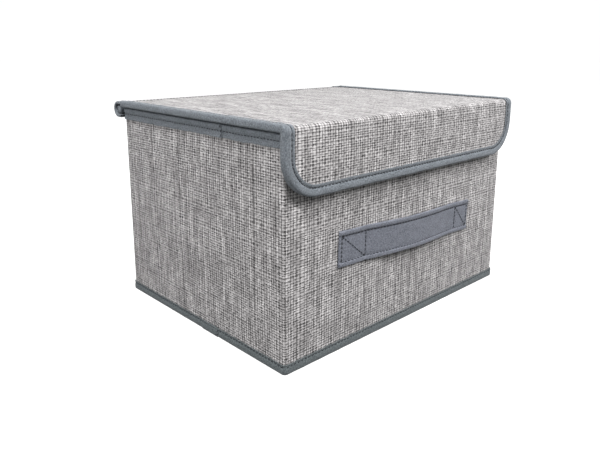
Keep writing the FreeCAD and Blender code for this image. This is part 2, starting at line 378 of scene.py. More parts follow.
def sheet_piece(name, rows, cloth, thick, materials, flip=False):
    """A thickened cloth through rows of points."""
    points = [p for row in rows for p in row]
    coords = [c for row in cloth for c in row]
    piece = mesh_piece(name, points, grid_faces(len(rows), len(rows[0]), flip), coords, materials)
    thicken(piece, thick)
    return piece


def span(low, high, step):
    """Even positions from low to high, about step apart."""
    count = max(1, round(abs(high - low) / step))
    return [low + (high - low) * i / count for i in range(count + 1)]


def even(low, high, count):
    """count even positions from low to high."""
    return [low + (high - low) * k / (count - 1) for k in range(count)]


def run_lengths(points):
    """Distance from the first point to each of them, along the line through them."""
    lengths = [0.0]
    for (x0, y0), (x1, y1) in zip(points, points[1:]):
        lengths.append(lengths[-1] + math.hypot(x1 - x0, y1 - y0))
    return lengths


def arc(across, up, radius, *degrees):
    """Points at these degrees round the point (across, up), counted from its right."""
    turns = [math.radians(turn) for turn in degrees]
    return [(across + radius * math.cos(turn), up + radius * math.sin(turn)) for turn in turns]


def tube_faces(rings, sides, first=0):
    """Faces of a closed tube through rings of points that turn anticlockwise, seen from ahead."""
    last = first + (rings - 1) * sides
    faces = []
    for start in range(first, last, sides):
        for n in range(sides):
            a, b = start + n, start + (n + 1) % sides
            faces.append((a, b, b + sides, a + sides))
    faces.append(tuple(reversed(range(first, first + sides))))
    faces.append(tuple(range(last, last + sides)))
    return faces


def wave(x, y, size, seed=0.0):
    """A smooth random height, about -1 to 1, that changes over size metres."""
    return 1.6 * noise.noise(Vector((x / size, y / size, seed)))


def ease(x):
    """0 below 0, 1 above 1 and a smooth step between."""
    x = min(1.0, max(0.0, x))
    return x * x * (3 - 2 * x)


def pinch(distance, along):
    """How far a stitch pulls the cloth in, from 0 to 1, near a seam."""
    across = math.exp(-(distance / (0.9 * MM)) ** 2)
    return across * (0.65 + 0.35 * math.cos(2 * math.pi * along / STITCH_PITCH))


def swelling(t):
    """Round swell of a tape between its edge and its seam, from 0 at t 0 to 1 and back at t 1."""
    return math.sin(math.pi * min(1.0, max(0.0, t))) ** 0.7


# Sewing


def stitch_shape():
    """Rings of one stitch along x, as (x, height, radius)."""
    half = STITCH_LENGTH / 2
    return ((-half, -0.9, 0.35), (-0.8 * half, 0.0, 0.85), (-0.35 * half, 0.55, 1.0),
            (0.35 * half, 0.55, 1.0), (0.8 * half, 0.0, 0.85), (half, -0.9, 0.35))


def stitch_piece(name, rows):
    """Stitches along rows; a row is a list of (point, outward normal), evenly a stitch apart."""
    sides = 6
    shape = stitch_shape()
    points, faces = [], []
    for row in rows:
        for k, (place, up) in enumerate(row):
            ahead = row[min(k + 1, len(row) - 1)][0] - row[max(k - 1, 0)][0]
            ahead.normalize()
            side = up.cross(ahead).normalized()
            ahead = ahead + side * random.uniform(-0.07, 0.07)
            faces += tube_faces(len(shape), sides, first=len(points))
            for x, lift, radius in shape:
                middle = place + ahead * x + up * (lift * THREAD_RADIUS)
                for n in range(sides):
                    turn = 2 * math.pi * n / sides
                    out = side * math.cos(turn) + up * math.sin(turn)
                    points.append(middle + out * (radius * THREAD_RADIUS))
    piece = mesh_piece(name, points, faces, None, [THREAD])
    return piece


# The box's outline, followed anticlockwise from the left end of the front wall

STRAIGHT_X = 2 * (HALF_X - COVER_CORNER)
STRAIGHT_Y = 2 * (HALF_Y - COVER_CORNER)
CORNER_ARC = COVER_CORNER * math.pi / 2
OUTLINE = 2 * (STRAIGHT_X + STRAIGHT_Y) + 4 * CORNER_ARC


RIGHT_S = STRAIGHT_X + CORNER_ARC
BACK_S = RIGHT_S + STRAIGHT_Y + CORNER_ARC
LEFT_S = BACK_S + STRAIGHT_X + CORNER_ARC
CORNERS = tuple(wall - CORNER_ARC for wall in (RIGHT_S, BACK_S, LEFT_S, OUTLINE))


def on_wall(s, outside, z):
    """(point, outward normal) s round the wall cloth at height z, moved outside from it."""
    s %= OUTLINE
    radius = max(COVER_CORNER + outside, TIGHTEST_CORNER)
    half_x = HALF_X + outside - radius
    half_y = HALF_Y + outside - radius
    middles = ((0, -half_y, z), (half_x, 0, z), (0, half_y, z), (-half_x, 0, z))
    for turn, middle in enumerate(middles):
        length, half = (STRAIGHT_Y, half_y) if turn % 2 else (STRAIGHT_X, half_x)
        along = Matrix.Rotation(turn * math.pi / 2, 3, "Z") @ Vector((1, 0, 0))
        out = Vector((along.y, -along.x, 0))
        if s < length:
            return Vector(middle) + along * (half * (2 * s / length - 1)) + out * radius, out
        s -= length
        if s < CORNER_ARC:
            out = Matrix.Rotation(s / COVER_CORNER, 3, "Z") @ out
            return Vector(middle) + along * half + out * radius, out
        s -= CORNER_ARC
    return on_wall(0, outside, z)


def stations(start, length, step):
    """Distances round the outline from start, closer together at the corners."""
    marks = {round(s, 6) for s in span(start, start + length, step)}
    for lap in (-OUTLINE, 0.0, OUTLINE):
        for corner in CORNERS:
            arc_marks = span(lap + corner, lap + corner + CORNER_ARC, 0.7 * MM)
            marks.update(round(s, 6) for s in arc_marks if start < s < start + length)
    return sorted(marks)


def from_corner(s):
    """Distance along the outline from the nearest end of a corner."""
    ends = [0.0] + [end for corner in CORNERS for end in (corner, corner + CORNER_ARC)]
    return min(abs(s % OUTLINE - end) for end in ends)


def left_wall(y):
    """Distance round the outline of the place at y on the left wall."""
    return LEFT_S + STRAIGHT_Y / 2 - y


# Tape laps, on the left wall

LAP_STEP = 1.2 * MM
LAP_STITCH_INSET = 0.9 * MM
RIM_LAP = 14 * MM
RIM_TAPE_START = left_wall(-38 * MM) - RIM_LAP
BOTTOM_LAP = 18 * MM
BOTTOM_SLANT = 3 * MM
BOTTOM_TAPE_START = left_wall(-25 * MM) - BOTTOM_LAP


# Box body

SEAM_STEP = 1.5 * MM


def wall_cloth():
    """The linen cloth round the four walls, lapped over itself at the back right corner."""
    lap = 12 * MM
    start = BACK_S + 6 * MM
    length = OUTLINE + lap
    heights = span(TAPE + 0.2 * MM, WALL_TOP - 0.2 * MM, 3.5 * MM)
    rows, cloth = [], []
    for s in stations(start, length, 4 * MM):
        lapped = ease((s - start - OUTLINE) / SEAM_STEP + 1)
        calm = ease((from_corner(s) - 1 * MM) / (22 * MM))
        row = []
        for z in heights:
            edge = ease((z - BOTTOM_TAPE_TOP) / (18 * MM)) * ease((RIM_LOW - z) / (18 * MM))
            swell = 0.3 * MM + 0.45 * MM * wave(s, z, 48 * MM) + 0.1 * MM * wave(s, z, 14 * MM, 4)
            puff = max(0.0, swell) * calm * edge + lapped * CLOTH
            row.append(on_wall(s, puff, z)[0])
        rows.append(row)
        cloth.append([(s, z) for z in heights])
    piece = sheet_piece("wall_cloth", rows, cloth, CLOTH, [LINEN], flip=True)
    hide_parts("outer_cover")
    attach(piece, "box")
    stitch_heights = span(BOTTOM_TAPE_TOP, RIM_LOW, STITCH_PITCH)
    row = [on_wall(start + lap / 2, CLOTH + 0.1 * MM, z) for z in stitch_heights]
    seam = stitch_piece("back_seam_thread", [row])
    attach(seam, "box")


def inner_lining():
    """The felt lining inside the walls, sewn at the edges and slack between them."""
    heights = span(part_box("wall_lining")[0].z, WALL_TOP - 0.2 * MM, 5 * MM)
    lap = 10 * MM
    start = RIGHT_S + 8 * MM
    rows, cloth = [], []
    for s in stations(start, OUTLINE + lap, 5 * MM):
        lapped = ease((s - start - OUTLINE) / SEAM_STEP + 1)
        calm = ease(from_corner(s) / (25 * MM))
        row = []
        for z in heights:
            edge = ease((z - heights[0]) / (15 * MM)) * ease((heights[-1] - z) / (15 * MM))
            swell = max(0.0, 0.35 * MM + 0.5 * MM * wave(s, z, 40 * MM, 9))
            inwards = WALL - 0.1 * MM + swell * calm * edge + lapped * LINING_THICK
            row.append(on_wall(s, -inwards, z)[0])
        rows.append(row)
        cloth.append([(s, z) for z in heights])
    piece = sheet_piece("inner_lining", rows, cloth, LINING_THICK, [LINING_FELT])
    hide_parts("wall_lining")
    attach(piece, "box")


def tape_round_box(name, start, lap, section, felt, slant=0.0, flip=False):
    """Tape round the whole outline; section(s, lapped) gives its (outside, z) points at s."""
    slant_run = 8 * MM
    rows, cloth = [], []
    end = start + OUTLINE + lap
    for s in stations(start, OUTLINE + lap, 1.1 * MM):
        lapped = ease((s - start - OUTLINE) / LAP_STEP + 1)
        profile = section(s, lapped)
        row = []
        for k, (outside, z) in enumerate(profile):
            across = k / (len(profile) - 1)
            lean = slant * (1 - across) * ease((s - end + slant_run) / slant_run)
            row.append(on_wall(s + lean, outside, z)[0])
        rows.append(row)
        cloth.append([(s, across) for across in run_lengths(profile)])
    piece = sheet_piece(name, rows, cloth, TAPE_THICK, [felt], flip=flip)
    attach(piece, "box")
    return piece


def rim_outside(s, z, lapped):
    """How far the rim tape's outer face stands from the wall cloth at height z."""
    free = ease((RIM_SEAM_Z - z) / (RIM_SEAM_Z - RIM_LOW))
    flare = 0.35 * MM * free * (0.6 + 0.8 * wave(s, 0, 9 * MM, 2))
    welt = swelling((z - RIM_SEAM_Z) / (RIM_TOP - 1 * MM - RIM_SEAM_Z))
    puff = (0.5 * MM + 0.15 * MM * wave(s, z, 7 * MM, 6)) * welt
    seam = 0.35 * MM * pinch(z - RIM_SEAM_Z, s)
    return TAPE + 0.15 * MM + flare + puff - seam + lapped * TAPE_THICK


def rim_section(s, lapped):
    """The rim tape's section: up the outside, over the wall's top and down the inside."""
    corner = 1.2 * MM
    scallop = 0.35 * MM * wave(s, 0, 5 * MM, 1) + 0.3 * MM * wave(s, 0, 17 * MM, 3)
    outer = TAPE + lapped * TAPE_THICK
    inner = -WALL - TAPE - lapped * TAPE_THICK
    top = RIM_TOP + lapped * 0.3 * MM + 0.15 * MM * wave(s, 0, 20 * MM, 5)
    points = [(rim_outside(s, z, lapped), z) for z in even(RIM_LOW + scallop, top - corner, 20)]
    points += arc(outer - corner, top - corner, corner, 30, 60, 90)
    points += arc(inner + corner, top - corner, corner, 90, 120, 150)
    for z in even(top - corner, RIM_LOW - scallop, 16):
        flare = 0.3 * MM * ease((RIM_SEAM_Z - z) / (RIM_SEAM_Z - RIM_LOW)) * (1 + wave(s, 0, 9 * MM, 8))
        points.append((inner - flare + 0.3 * MM * pinch(z - RIM_SEAM_Z, s), z))
    return points


def rim_tape():
    """Tape folded over the walls' top edge, its ends lapped on the left wall."""
    piece = tape_round_box("rim_tape", RIM_TAPE_START, RIM_LAP, rim_section, TAPE_FELT, flip=True)
    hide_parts("rim_binding")
    row_out, row_in = [], []
    for s in span(RIM_TAPE_START, RIM_TAPE_START + OUTLINE, STITCH_PITCH):
        lapped = 1 - ease((s - RIM_TAPE_START - RIM_LAP) / LAP_STEP)
        z = RIM_SEAM_Z + 0.25 * MM * wave(s, 0, 40 * MM, 11)
        row_out.append(on_wall(s, rim_outside(s, RIM_SEAM_Z, lapped) + THREAD_PROUD, z))
        place, out = on_wall(s, -WALL - TAPE + 0.1 * MM, z)
        row_in.append((place, -out))
    lap_end = RIM_TAPE_START + RIM_LAP - LAP_STITCH_INSET
    row_lap = [on_wall(lap_end, rim_outside(lap_end, z, 1) + THREAD_PROUD, z)
               for z in even(RIM_LOW + 1.6 * MM, RIM_TOP - 2.2 * MM, 3)]
    seam = stitch_piece("rim_stitches", [row_out, row_in, row_lap])
    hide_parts("rim_thread")
    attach(seam, "box")


def bottom_outside(s, z, lapped=0.0):
    """How far the bottom tape's outer face stands from the wall cloth at height z."""
    free = ease((z - BOTTOM_SEAM_Z + 1 * MM) / (BOTTOM_TAPE_TOP - BOTTOM_SEAM_Z + 1 * MM))
    flare = 0.25 * MM * free * (0.7 + wave(s, 0, 8 * MM, 12))
    puff = (0.4 * MM + 0.12 * MM * wave(s, z, 8 * MM, 13)) * swelling(z / BOTTOM_SEAM_Z)
    seam = 0.35 * MM * pinch(z - BOTTOM_SEAM_Z, s)
    return TAPE + 0.1 * MM + flare + puff - seam + lapped * TAPE_THICK


def bottom_section(s, lapped):
    """The bottom tape's section: down the outside and in under the base."""
    corner = 1.0 * MM
    top = BOTTOM_TAPE_TOP + 0.25 * MM * wave(s, 0, 6 * MM, 14)
    points = [(bottom_outside(s, z, lapped), z) for z in even(top, corner, 15)]
    points += arc(points[-1][0] - corner, corner, corner, -30, -60, -90)
    points += [(inwards, 0.0) for inwards in span(-1.5 * MM, -BOTTOM_TURN_UNDER, 1.4 * MM)]
    return points


def bottom_tape():
    """Tape round the bottom edge, turned under the base, its end cut on a slant."""
    piece = tape_round_box("bottom_tape", BOTTOM_TAPE_START, BOTTOM_LAP, bottom_section, BOTTOM_FELT_TONE_AND_SHADE,
                           slant=BOTTOM_SLANT)
    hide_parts("bottom_binding")
    row, lap_row = [], []
    for s in span(BOTTOM_TAPE_START, BOTTOM_TAPE_START + OUTLINE, STITCH_PITCH):
        z = BOTTOM_SEAM_Z + 0.2 * MM * wave(s, 0, 40 * MM, 15)
        row.append(on_wall(s, bottom_outside(s, BOTTOM_SEAM_Z) + THREAD_PROUD, z))
    for t in (0.25, 0.75):
        s = BOTTOM_TAPE_START + BOTTOM_LAP - LAP_STITCH_INSET + BOTTOM_SLANT * t
        z = BOTTOM_TAPE_TOP * t
        lap_row.append(on_wall(s, bottom_outside(s, z, 1) + THREAD_PROUD, z))
    seam = stitch_piece("bottom_stitches", [row, lap_row])
    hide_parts("bottom_thread")
    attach(seam, "box")


def base_sheet():
    """The sewn-in bottom cloth, flat on the floor and stepped up over the tape's lip."""
    low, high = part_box("base_cloth")
    lip = BOTTOM_TURN_UNDER
    step = 4 * MM
    rows, cloth = [], []
    for x in span(low.x, high.x, step):
        row = []
        for y in span(low.y, high.y, step):
            inset = min(x - low.x, high.x - x, y - low.y, high.y - y)
            raised = 1 - ease((inset - lip) / (2 * MM) + 1)
            z = 0.65 * MM + raised * 0.5 * MM
            z += ease(inset / (30 * MM)) * 0.12 * MM * wave(x, y, 45 * MM, 16)
            row.append(Vector((x, y, z)))
        rows.append(row)
        cloth.append([(x, y) for y in span(low.y, high.y, step)])
    piece = sheet_piece("base_sheet", rows, cloth, LINING_THICK, [LINING_FELT], flip=True)
    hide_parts("base_cloth")
    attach(piece, "box")


# Loose base insert


def insert_cover():
    """Felt turned over the loose base board, lightly crowned, with a border underneath."""
    low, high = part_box("base_board_cover")
    edge = 1.4 * MM
    border = 15 * MM
    half_x = high.x - edge
    half_y = high.y - edge
    xs = span(-half_x, half_x, 6 * MM)
    ys = span(-half_y, half_y, 6 * MM)
    middle = (low.z + high.z) / 2
    round_z = high.z - middle
    points, cloth = [], []
    for x in xs:
        for y in ys:
            soft = ease(min(half_x - abs(x), half_y - abs(y)) / (25 * MM))
            crown = soft * 0.25 * MM * (1 + wave(x, y, 50 * MM, 17))
            points.append(Vector((x, y, high.z + crown)))
            cloth.append((x, y))
    deep, total = len(ys), len(points)
    faces = grid_faces(len(xs), deep, flip=True)

    # The edge's points with their way out, and one more for the turn at each corner
    sides = ((range(0, total, deep), (0, -1)), (range(total - deep, total), (1, 0)),
             (range(total - 1, 0, -deep), (0, 1)), (range(deep - 1, -1, -1), (-1, 0)))
    loop = []
    for k, (side, out) in enumerate(sides):
        after = sides[(k + 1) % 4][1]
        loop += [(n, Vector((*out, 0))) for n in side]
        loop.append((side[-1], Vector((out[0] + after[0], out[1] + after[1], 0)) * math.sqrt(0.5)))
    levels = []
    for degrees in (30, 60, 90, 120, 150, 180):
        turn = math.radians(degrees)
        levels.append((edge * math.sin(turn), middle + round_z * math.cos(turn)))
    levels += [(-d, low.z) for d in span(3 * MM, border - edge, 4 * MM)]
    # Down round the edge and in underneath, where the corners are cut square
    ring = [n for n, out in loop]
    for outside, z in levels:
        after = []
        for n, out in loop:
            square = abs(out.x) + abs(out.y) < 1.1
            reach = outside if square or outside >= 0 else outside * math.sqrt(2)
            place = points[n] + out * reach
            if outside < 0 and square:
                place.x = max(-half_x - outside, min(half_x + outside, place.x))
                place.y = max(-half_y - outside, min(half_y + outside, place.y))
            place.z = z
            after.append(len(points))
            points.append(place)
            cloth.append((place.x, place.y + 2 * (high.z - z)))
        for k in range(len(ring)):
            m = (k + 1) % len(ring)
            if ring[k] == ring[m]:
                faces.append((ring[k], after[k], after[m]))
            else:
                faces.append((ring[k], after[k], after[m], ring[m]))
        ring = after
    piece = mesh_piece("insert_cover", points, faces, cloth, [LINING_FELT])
    weld = piece.modifiers.new("weld", "WELD")
    weld.merge_threshold = 0.01 * MM
    thicken(piece, LINING_THICK)
    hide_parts("base_board_cover")
    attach(piece, "base_insert")


# Handle tape


end_low, end_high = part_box("handle_end_left")
far_low, far_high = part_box("handle_end_right")
HANDLE_LEFT = (end_low + end_high) / 2
HANDLE_RIGHT = (far_low + far_high) / 2
HANDLE_TILT = math.atan2(HANDLE_LEFT.z - HANDLE_RIGHT.z, HANDLE_RIGHT.x - HANDLE_LEFT.x)
HANDLE_CENTRE = (HANDLE_LEFT + HANDLE_RIGHT) / 2
end_size = end_high - end_low
squareness = math.cos(HANDLE_TILT) ** 2 - math.sin(HANDLE_TILT) ** 2
HANDLE_END = (end_size.x * math.cos(HANDLE_TILT) - end_size.z * math.sin(HANDLE_TILT)) / squareness
HANDLE_HEIGHT = (end_size.z * math.cos(HANDLE_TILT) - end_size.x * math.sin(HANDLE_TILT)) / squareness
HANDLE_LENGTH = (HANDLE_RIGHT - HANDLE_LEFT).length + HANDLE_END
HANDLE_BOW = (-HALF_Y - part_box("handle_grip")[0].y) * 0.5
HANDLE_FREE = HANDLE_LENGTH / 2 - HANDLE_END
HANDLE_COLUMNS = (-HANDLE_LENGTH / 2 + 2.6 * MM, -HANDLE_LENGTH / 2 + 27 * MM,
                  HANDLE_LENGTH / 2 - 20 * MM, HANDLE_LENGTH / 2 - 2.6 * MM)
HEM = 3.2 * MM
HEM_SEAM = HEM + 0.4 * MM


def on_handle(a, b, outside):
    """A point a along the handle tape from its middle, b up it, outside from the wall cloth."""
    turn = Matrix.Rotation(HANDLE_TILT, 3, "Y")
    place = turn @ Vector((a, 0, b))
    return Vector((place.x, -HALF_Y - outside, place.z + HANDLE_CENTRE.z))


def handle_bow(a):
    """How far the tape stands off the wall a along it."""
    t = min(1.0, abs(a) / HANDLE_FREE)
    return HANDLE_BOW * (1 - t * t) ** 1.5


def handle_face(a, b):
    """Height of the tape's outer face above its back, with its hems and seams."""
    edge = HANDLE_HEIGHT / 2 - abs(b)
    hem = ease((HEM + 0.5 * MM - edge) / (0.8 * MM))
    face = 0.95 * MM + 0.75 * MM * hem
    face -= 0.35 * MM * pinch(edge - HEM_SEAM, a)
    face += 0.12 * MM * wave(a, b, 12 * MM, 18)
    for column in HANDLE_COLUMNS:
        face -= 0.3 * MM * pinch(a - column, b)
    return face


def handle_half(side):
    """One half of the handle tape, from its sewn end to its middle."""
    half = HANDLE_HEIGHT / 2
    rounding = 0.7 * MM
    tuck = 0.25 * MM
    points, cloth = [], []
    marks = span(side * HANDLE_LENGTH / 2, 0.0, 1.0 * MM)
    for a in marks:
        lift = handle_bow(a) + 0.25 * MM
        end = 1 - ease((HANDLE_LENGTH / 2 - abs(a)) / (1.0 * MM))
        wide = half + 0.25 * MM * wave(a, 0, 18 * MM, 19)
        for b in span(-wide, wide, wide / 24):
            edge = wide - abs(b)
            roll = math.sqrt(max(0.0, 1 - (1 - min(1.0, edge / rounding)) ** 2))
            face = handle_face(a, b) * (tuck + (1 - tuck) * roll) * (1 - 0.5 * end)
            points.append(on_handle(a, b, lift + face))
            cloth.append((a, b))
        for b in span(wide, -wide, wide / 8):
            points.append(on_handle(a, b * 0.995, lift))
            cloth.append((a, -b))
    faces = tube_faces(len(marks), len(points) // len(marks))
    if side < 0:
        faces = [face[::-1] for face in faces]
    name = "left" if side < 0 else "right"
    piece = mesh_piece("handle_tape_" + name, points, faces, cloth, [HANDLE_FELT])
    piece.data.set_sharp_from_angle(angle=math.radians(60))
    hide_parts("handle_end_" + name)
    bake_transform(piece)
    return piece


def handle_row(a0, b0, a1, b1):
    """A row of stitches on the handle's face from (a0, b0) to (a1, b1)."""
    length = math.hypot(a1 - a0, b1 - b0)
    count = max(1, round(length / STITCH_PITCH))
    row = []
    for k in range(count):
        t = (k + 0.5) / count
        a, b = a0 + (a1 - a0) * t, b0 + (b1 - b0) * t
        lift = handle_bow(a) + 0.3 * MM + handle_face(a, b)
        row.append((on_handle(a, b, lift), Vector((0, -1, 0))))
    return row


def handle():
    """Both halves of the handle tape, each sewn with a box and one diagonal, and its hems."""
    halves = [handle_half(side) for side in (-1, 1)]
    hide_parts("handle_grip")
    hem_row = HANDLE_HEIGHT / 2 - HEM_SEAM
    for side, name in ((-1, "left"), (1, "right")):
        low, high = sorted(a for a in HANDLE_COLUMNS if a * side > 0)
        outer = low if side < 0 else high
        rows = [handle_row(a, -hem_row, a, hem_row) for a in (low, high)]
        rows.append(handle_row(low, hem_row, high, -hem_row))
        rows += [handle_row(outer, b, 0.0, b) for b in (-hem_row, hem_row)]
        seam = stitch_piece("handle_stitches_" + name, rows)
        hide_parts("handle_thread_" + name)
        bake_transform(seam)


# Lid and flap, one cloth laid out flat as x across and v from the back edge to the flap's end

V_FOLD = LID_BACK - FOLD_Y
V_ARC = LID_THICK * math.pi / 2
V_FLAP = LID_UNDERSIDE - FLAP_CLOTH_LOW
V_END = V_FOLD + V_ARC + V_FLAP


def on_lid(x, v, height):
    """A point of the lid and flap, height above the underside of their layers."""
    radius = max(height, FOLD_TIGHT)
    centre_y = FOLD_Y - height + radius
    centre_z = LID_UNDERSIDE + height - radius
    if v < V_FOLD:
        y = LID_BACK + (centre_y - LID_BACK) * v / V_FOLD
        return Vector((x, y, LID_UNDERSIDE + height))
    if v < V_FOLD + V_ARC:
        turn = (v - V_FOLD) / V_ARC * math.pi / 2
        return Vector((x, centre_y - radius * math.sin(turn), centre_z + radius * math.cos(turn)))
    t = (v - V_FOLD - V_ARC) / V_FLAP
    return Vector((x, FOLD_Y - height, centre_z + (FLAP_CLOTH_LOW - centre_z) * t))


def lid_rows():
    """v positions along the lid cloth, closer together at the fold and the round corners."""
    rows = span(0.0, V_FOLD - 2 * MM, 4 * MM)
    rows += span(V_FOLD - 1 * MM, V_FOLD + V_ARC + 1 * MM, 0.5 * MM)
    straight_end = V_END - FLAP_CORNER
    rows += span(V_FOLD + V_ARC + 2 * MM, straight_end, 3 * MM)
    for degrees in range(6, 91, 6):
        rows.append(straight_end + FLAP_CORNER * math.sin(math.radians(degrees)))
    return rows


def half_width(v):
    """Half the lid cloth's width at v, less at the flap's round corners."""
    down = max(0.0, v - (V_END - FLAP_CORNER))
    return LID_HALF_X - FLAP_CORNER + math.sqrt(max(0.0, FLAP_CORNER ** 2 - down ** 2))


def lid_swell(x, v):
    """Slow waves of the lid's cloth over its board."""
    inset = min(LID_HALF_X - abs(x), v, V_END - v)
    soft = ease(inset / (25 * MM)) * ease(abs(v - V_FOLD - V_ARC / 2) / (20 * MM))
    return soft * max(0.0, 0.35 * MM + 0.4 * MM * wave(x, v, 55 * MM, 20))


def lid_sheet(name, height, swell, thick, material, flip):
    """One cloth over or under the lid's and flap's boards; swell scales its slow waves."""
    rows, cloth = [], []
    for v in lid_rows():
        half = half_width(v)
        xs = span(-half, half, 2 * half / 64)
        rows.append([on_lid(x, v, height + swell * lid_swell(x, v)) for x in xs])
        cloth.append([(x, v) for x in xs])
    piece = sheet_piece(name, rows, cloth, thick, [material], flip=flip)
    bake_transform(piece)
    return piece


def lid_cloth():
    """The linen over lid, fold and flap, and the lining under them."""
    piece = lid_sheet("lid_cloth", LID_THICK, 1, CLOTH, LINEN, True)
    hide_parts("lid_cover", "fold_strip", "flap_cover")
    inner = lid_sheet("lid_inner", 0.0, -0.6, LINING_THICK, LINING_FELT, False)
    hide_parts("lid_lining", "flap_lining")


def lid_edge(step):
    """Stations round the lid's edge as (x, v, inward x, inward v, distance)."""
    corner_v = V_END - FLAP_CORNER
    down_side = span(0.0, V_FOLD - 1 * MM, step)
    down_side += span(V_FOLD - 0.5 * MM, V_FOLD + V_ARC + 0.5 * MM, 0.5 * MM)
    down_side += span(V_FOLD + V_ARC + 1 * MM, corner_v, step)
    marks = [(-LID_HALF_X, v, 1.0, 0.0) for v in down_side]
    for turn in span(0.0, math.pi / 2, step / FLAP_CORNER)[1:]:
        across, down = math.cos(turn), math.sin(turn)
        marks.append((-LID_HALF_X + FLAP_CORNER * (1 - across), corner_v + FLAP_CORNER * down,
                      across, -down))
    half_bottom = LID_HALF_X - FLAP_CORNER
    marks += [(x, V_END, 0.0, -1.0) for x in span(-half_bottom, 0.0, step)[1:]]
    marks += [(-x, v, -inward_x, inward_v) for x, v, inward_x, inward_v in reversed(marks[:-1])]
    distances = run_lengths([(x, v) for x, v, inward_x, inward_v in marks])
    return [(*mark, distance) for mark, distance in zip(marks, distances)]


def lid_tape_face(inset, s):
    """Height of the lid tape's outer face above the cover, inset from the cloth's edge."""
    welt = swelling((inset + 1.5 * MM) / (LID_SEAM + 1.5 * MM))
    lip = ease((inset - LID_SEAM) / (0.9 * MM))
    height = TAPE + (0.75 * MM + 0.15 * MM * wave(s, inset, 9 * MM, 22)) * welt
    height += 0.4 * MM * lip * (0.8 + 0.5 * wave(s, 0, 8 * MM, 21))
    return height - 0.3 * MM * pinch(inset - LID_SEAM, s)


def lid_tape_section(s):
    """The lid tape's section as (inset, height): over the top, round the edge, underneath."""
    corner = 1.3 * MM
    wide = LID_TAPE_WIDTH - TAPE
    ragged = 0.3 * MM * wave(s, 0, 6 * MM, 23)
    points = [(inset, LID_THICK + lid_tape_face(inset, s))
              for inset in even(wide + ragged, 0.7 * MM, 20)]
    outer = -TAPE + 0.15 * MM * wave(s, 0, 14 * MM, 24)
    high = LID_THICK + lid_tape_face(0.0, s)
    low = -TAPE
    points += arc(outer + corner, high - corner, corner, 120, 150, 180)
    points += arc(outer + corner, low + corner, corner, 180, 210, 240)
    for inset in even(0.8 * MM, wide - ragged, 9):
        points.append((inset, low - 0.15 * MM * ease((inset - LID_SEAM) / (2 * MM))))
    return points


def lid_tape():
    """One tape folded over the lid's and flap's whole edge, round the flap's corners."""
    rows, cloth = [], []
    for x, v, inward_x, inward_v, s in lid_edge(0.8 * MM):
        section = lid_tape_section(s)
        rows.append([on_lid(x + inward_x * inset, v + inward_v * inset, height)
                     for inset, height in section])
        cloth.append([(s, across) for across in run_lengths(section)])
    piece = sheet_piece("lid_tape", rows, cloth, TAPE_THICK, [TAPE_FELT])
    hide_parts("lid_binding_left", "lid_binding_right", "flap_binding")
    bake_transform(piece)
    top_row, under_row = [], []
    due = STITCH_PITCH / 2
    for x, v, inward_x, inward_v, s in lid_edge(0.4 * MM):
        if s < due:
            continue
        due += STITCH_PITCH
        at_x, at_v = x + inward_x * LID_SEAM, v + inward_v * LID_SEAM
        height = LID_THICK + lid_tape_face(LID_SEAM, s)
        place = on_lid(at_x, at_v, height + THREAD_PROUD)
        up = (place - on_lid(at_x, at_v, height - 1 * MM)).normalized()
        top_row.append((place, up))
        if abs(v - V_FOLD - V_ARC / 2) > 6 * MM:
            under_row.append((on_lid(at_x, at_v, -TAPE), -up))
    seam = stitch_piece("lid_stitches", [top_row, under_row])
    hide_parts("lid_thread", "flap_thread")
    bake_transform(seam)


# Rear hinge


LOOP_WRAP = LOOP_RADIUS * math.pi
LOOP_IN = LOOP_Y - LID_BACK + 1.5 * MM
LOOP_OUT = LOOP_Y - HALF_Y - 0.2 * MM
LOOP_LENGTH = LOOP_IN + LOOP_WRAP + LOOP_OUT
HINGE_THICK = 1.2 * MM


def on_loop(x, t, inside):
    """A point of the hinge cloth: t from the lid's edge round and under, inside its outer face."""
    sag = 0.4 * MM * wave(x, 0, 60 * MM, 25) + 0.15 * MM * wave(x, t, 14 * MM, 26)
    loose = math.sin(math.pi * min(1.0, max(0.0, (t - LOOP_IN) / LOOP_WRAP)))
    radius = LOOP_RADIUS - inside + sag * loose
    if t < LOOP_IN:
        return Vector((x, LOOP_Y - LOOP_IN + t, LOOP_Z + radius - 0.35 * MM * (1 - t / LOOP_IN)))
    if t < LOOP_IN + LOOP_WRAP:
        turn = (t - LOOP_IN) / LOOP_RADIUS
        return Vector((x, LOOP_Y + radius * math.sin(turn), LOOP_Z + radius * math.cos(turn)))
    return Vector((x, LOOP_Y - (t - LOOP_IN - LOOP_WRAP), LOOP_Z - radius))


def hinge_cloth():
    """The cloth carried on behind the lid, looped down to the rim tape, its ends bound."""
    ts = span(0.0, LOOP_LENGTH, 0.7 * MM)
    linen_ts = ts[:-2]
    xs = span(-LID_HALF_X + 0.3 * MM, LID_HALF_X - 0.3 * MM, 4 * MM)
    rows = [[on_loop(x, t, 0.1 * MM) for x in xs] for t in linen_ts]
    cloth = [[(x, -t) for x in xs] for t in linen_ts]
    piece = sheet_piece("hinge_cloth", rows, cloth, HINGE_THICK, [LINEN, LINING_FELT])
    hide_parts("hinge_strip")
    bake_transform(piece)
    row = []
    for x in span(-LID_HALF_X + 11 * MM, LID_HALF_X - 11 * MM, STITCH_PITCH):
        row.append((Vector((x, LID_BACK - 0.8 * MM, LID_TOP + THREAD_PROUD)), Vector((0, 0, 1))))
    hinge_tape(ts, -1, "left")
    hinge_tape(ts, 1, "right")
    seam = stitch_piece("hinge_stitches", [row])
    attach(seam, "lid")


